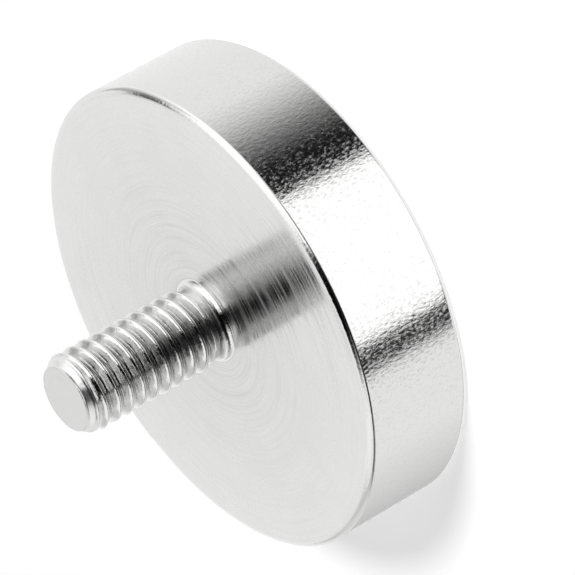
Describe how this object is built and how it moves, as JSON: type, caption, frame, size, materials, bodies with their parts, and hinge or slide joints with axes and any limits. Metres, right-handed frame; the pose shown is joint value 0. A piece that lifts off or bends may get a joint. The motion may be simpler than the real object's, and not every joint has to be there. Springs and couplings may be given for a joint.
{
  "type": "pot magnet with threaded stud",
  "caption": "Round steel pot magnet with a male threaded stud in the middle of its back, plated bright, with a bonded magnet disc in its open face.",
  "frame": {"origin": "centre of the working rim, on the plane that lies on the steel it holds", "axes": "+Z along the stud, from the magnet face to the stud's tip"},
  "size_m": [0.046, 0.046, 0.0272],
  "materials": {
    "plated_pot": "turned steel with bright nickel plate, fine turning rings on the back, satin side",
    "plated_stud": "rolled thread with bright nickel plate",
    "plated_magnet": "smooth nickel plate on a pressed neodymium disc",
    "adhesive": "cured adhesive",
    "epoxy": "cured black potting epoxy, slightly glossy"
  },
  "bodies": {
    "root": {"steel_pot": "plated_pot", "threaded_stud": "plated_stud", "disc_magnet": "plated_magnet", "adhesive_film": "adhesive", "epoxy_ring": "epoxy"}
  },
  "joints": []
}
